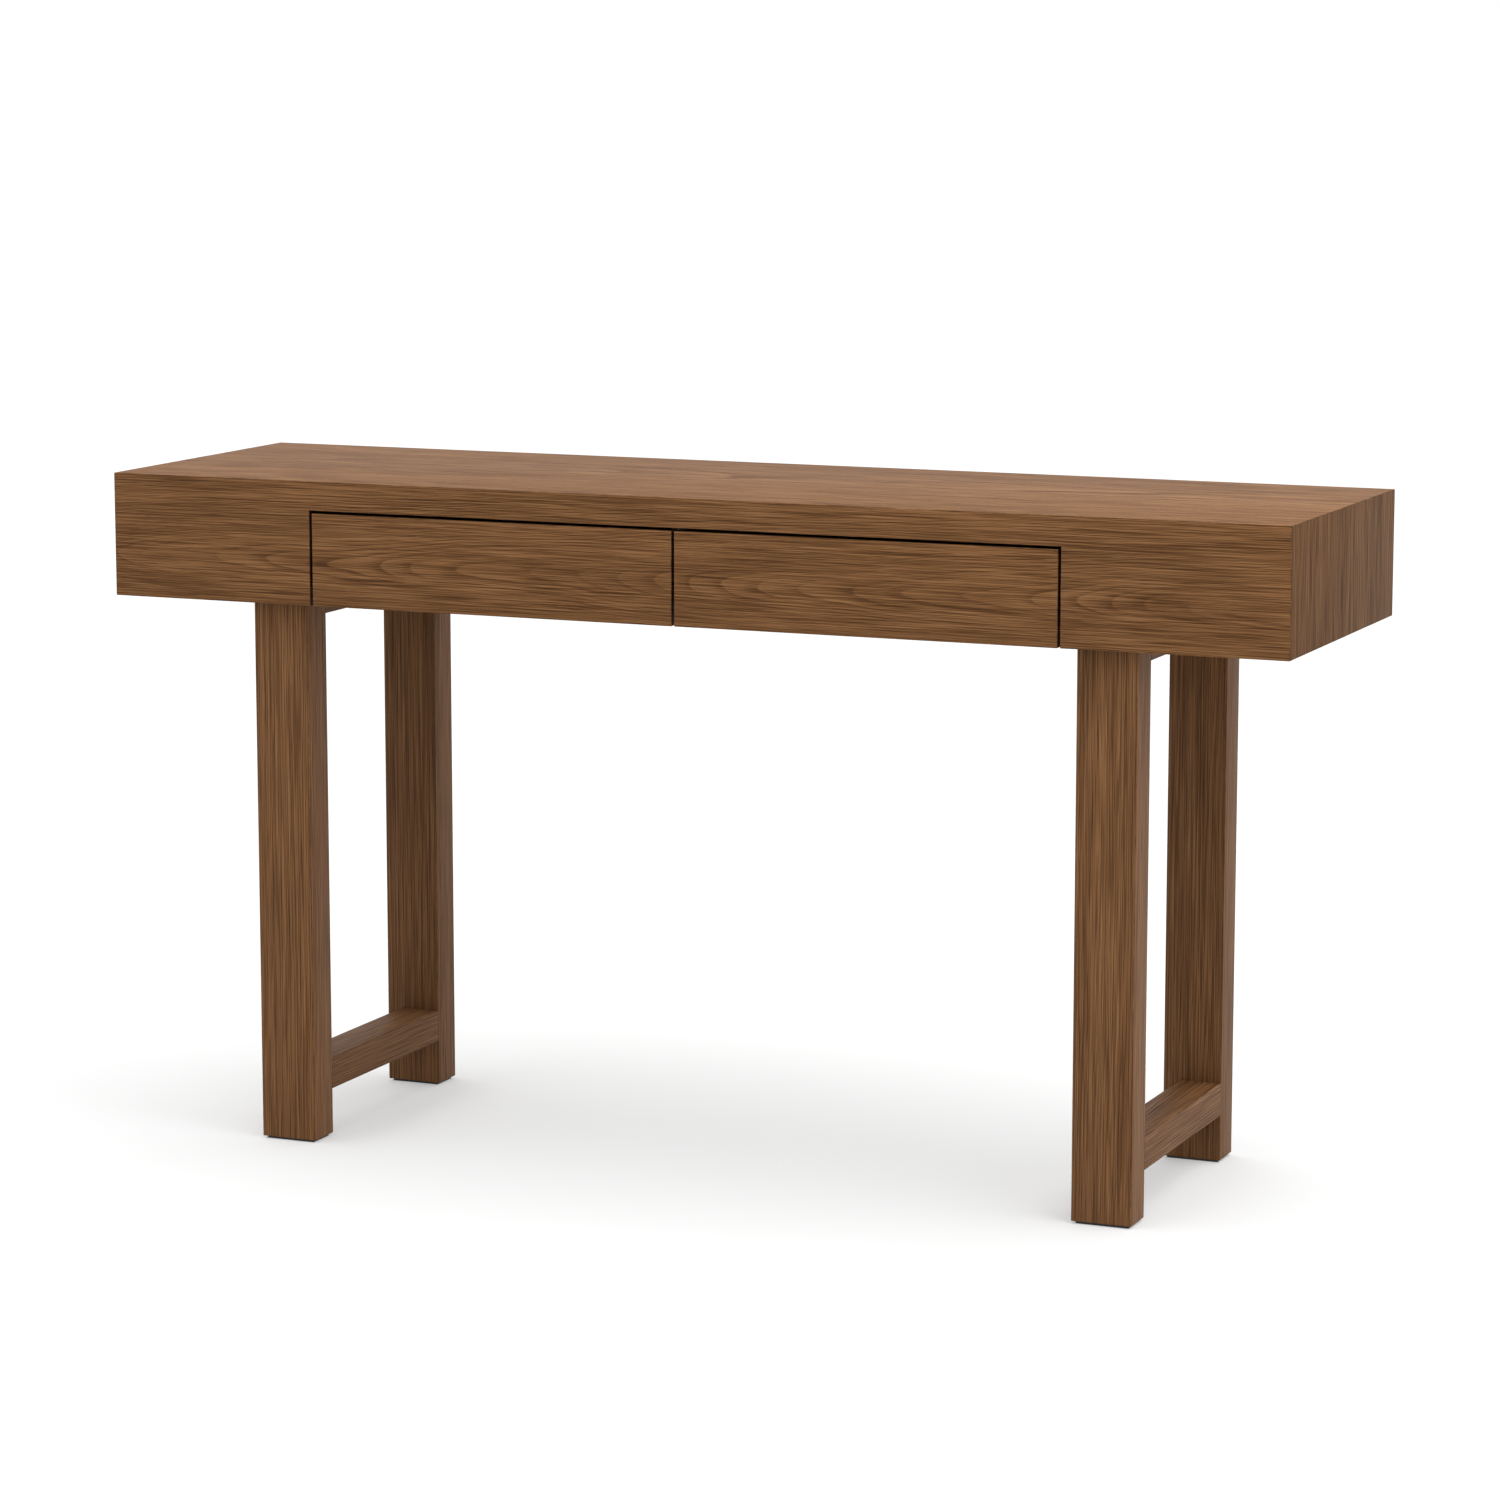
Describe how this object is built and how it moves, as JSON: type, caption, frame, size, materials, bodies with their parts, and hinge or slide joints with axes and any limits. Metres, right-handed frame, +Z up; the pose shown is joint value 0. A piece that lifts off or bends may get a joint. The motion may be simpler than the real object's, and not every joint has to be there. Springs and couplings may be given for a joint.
{
  "type": "console table",
  "caption": "Console table: thick flush case with handle-less inset drawers on ball-bearing runners, carried on open leg frames with low stretchers.",
  "frame": {"origin": "on the floor under the middle of the table", "axes": "+X along the table's length to the right as seen from the drawer side, +Y from the drawer side to the back, +Z up"},
  "size_m": [1.524, 0.432, 0.838],
  "materials": {
    "walnut_veneer": "walnut-stained oak veneer, open straight grain, satin lacquer",
    "walnut_solid": "walnut-stained solid oak, straight grain, satin lacquer",
    "case_carcass": "stained plywood and battens inside the case",
    "drawer_box_wood": "clear-lacquered pale hardwood",
    "drawer_plywood": "clear-lacquered birch plywood",
    "beech_dowel": "fluted beech, raw",
    "zinc_runner": "bright zinc-plated pressed steel",
    "ball_cage_steel": "plain steel cages with polished balls",
    "zinc_screw": "zinc-plated steel",
    "black_bolt": "black oxide steel",
    "brass_insert": "turned brass",
    "black_glide": "black nylon"
  },
  "bodies": {
    "table": {"top_panel": "walnut_veneer", "front_fascia": "walnut_veneer", "back_panel": "walnut_veneer", "left_end_panel": "walnut_veneer", "right_end_panel": "walnut_veneer", "bottom_panel": "walnut_veneer", "left_partition": "case_carcass", "centre_partition": "case_carcass", "right_partition": "case_carcass", "glue_blocks": "case_carcass", "threaded_inserts": "brass_insert", "outer_runner_screws": "zinc_screw", "left_front_post": "walnut_solid", "left_rear_post": "walnut_solid", "left_stretcher": "walnut_solid", "left_top_rail": "walnut_solid", "left_frame_dowels": "beech_dowel", "left_frame_bolts": "black_bolt", "left_glides": "black_glide", "left_drawer_left_outer_runner": "zinc_runner", "left_drawer_right_outer_runner": "zinc_runner", "right_front_post": "walnut_solid", "right_rear_post": "walnut_solid", "right_stretcher": "walnut_solid", "right_top_rail": "walnut_solid", "right_frame_dowels": "beech_dowel", "right_frame_bolts": "black_bolt", "right_glides": "black_glide", "right_drawer_left_outer_runner": "zinc_runner", "right_drawer_right_outer_runner": "zinc_runner"},
    "left_drawer": {"left_drawer_front": "walnut_veneer", "left_drawer_box_front": "drawer_box_wood", "left_drawer_box_back": "drawer_box_wood", "left_drawer_box_left_side": "drawer_box_wood", "left_drawer_box_right_side": "drawer_box_wood", "left_drawer_box_bottom": "drawer_plywood", "left_drawer_front_screws": "zinc_screw", "left_drawer_runner_screws": "zinc_screw", "left_drawer_left_inner_runner": "zinc_runner", "left_drawer_right_inner_runner": "zinc_runner"},
    "left_drawer_middle_runners": {"left_drawer_left_middle_runner": "zinc_runner", "left_drawer_right_middle_runner": "zinc_runner"},
    "left_drawer_outer_cages": {"left_drawer_outer_ball_cages": "ball_cage_steel"},
    "left_drawer_inner_cages": {"left_drawer_inner_ball_cages": "ball_cage_steel"},
    "right_drawer": {"right_drawer_front": "walnut_veneer", "right_drawer_box_front": "drawer_box_wood", "right_drawer_box_back": "drawer_box_wood", "right_drawer_box_left_side": "drawer_box_wood", "right_drawer_box_right_side": "drawer_box_wood", "right_drawer_box_bottom": "drawer_plywood", "right_drawer_front_screws": "zinc_screw", "right_drawer_runner_screws": "zinc_screw", "right_drawer_left_inner_runner": "zinc_runner", "right_drawer_right_inner_runner": "zinc_runner"},
    "right_drawer_middle_runners": {"right_drawer_left_middle_runner": "zinc_runner", "right_drawer_right_middle_runner": "zinc_runner"},
    "right_drawer_outer_cages": {"right_drawer_outer_ball_cages": "ball_cage_steel"},
    "right_drawer_inner_cages": {"right_drawer_inner_ball_cages": "ball_cage_steel"}
  },
  "joints": [
    {"name": "left_drawer_slide", "type": "slide", "parent": "table", "child": "left_drawer", "axis": [0, -1, 0], "range_m": [0, 0.35]},
    {"name": "left_drawer_middle_runners_slide", "type": "slide", "parent": "table", "child": "left_drawer_middle_runners", "axis": [0, -1, 0], "range_m": [0, 0.175]},
    {"name": "left_drawer_outer_cages_slide", "type": "slide", "parent": "table", "child": "left_drawer_outer_cages", "axis": [0, -1, 0], "range_m": [0, 0.0875]},
    {"name": "left_drawer_inner_cages_slide", "type": "slide", "parent": "table", "child": "left_drawer_inner_cages", "axis": [0, -1, 0], "range_m": [0, 0.2625]},
    {"name": "right_drawer_slide", "type": "slide", "parent": "table", "child": "right_drawer", "axis": [0, -1, 0], "range_m": [0, 0.35]},
    {"name": "right_drawer_middle_runners_slide", "type": "slide", "parent": "table", "child": "right_drawer_middle_runners", "axis": [0, -1, 0], "range_m": [0, 0.175]},
    {"name": "right_drawer_outer_cages_slide", "type": "slide", "parent": "table", "child": "right_drawer_outer_cages", "axis": [0, -1, 0], "range_m": [0, 0.0875]},
    {"name": "right_drawer_inner_cages_slide", "type": "slide", "parent": "table", "child": "right_drawer_inner_cages", "axis": [0, -1, 0], "range_m": [0, 0.2625]}
  ],
  "couplings": [
    {"joint": "left_drawer_middle_runners_slide", "follows": "left_drawer_slide", "ratio": 0.5},
    {"joint": "left_drawer_outer_cages_slide", "follows": "left_drawer_slide", "ratio": 0.25},
    {"joint": "left_drawer_inner_cages_slide", "follows": "left_drawer_slide", "ratio": 0.75},
    {"joint": "right_drawer_middle_runners_slide", "follows": "right_drawer_slide", "ratio": 0.5},
    {"joint": "right_drawer_outer_cages_slide", "follows": "right_drawer_slide", "ratio": 0.25},
    {"joint": "right_drawer_inner_cages_slide", "follows": "right_drawer_slide", "ratio": 0.75}
  ]
}
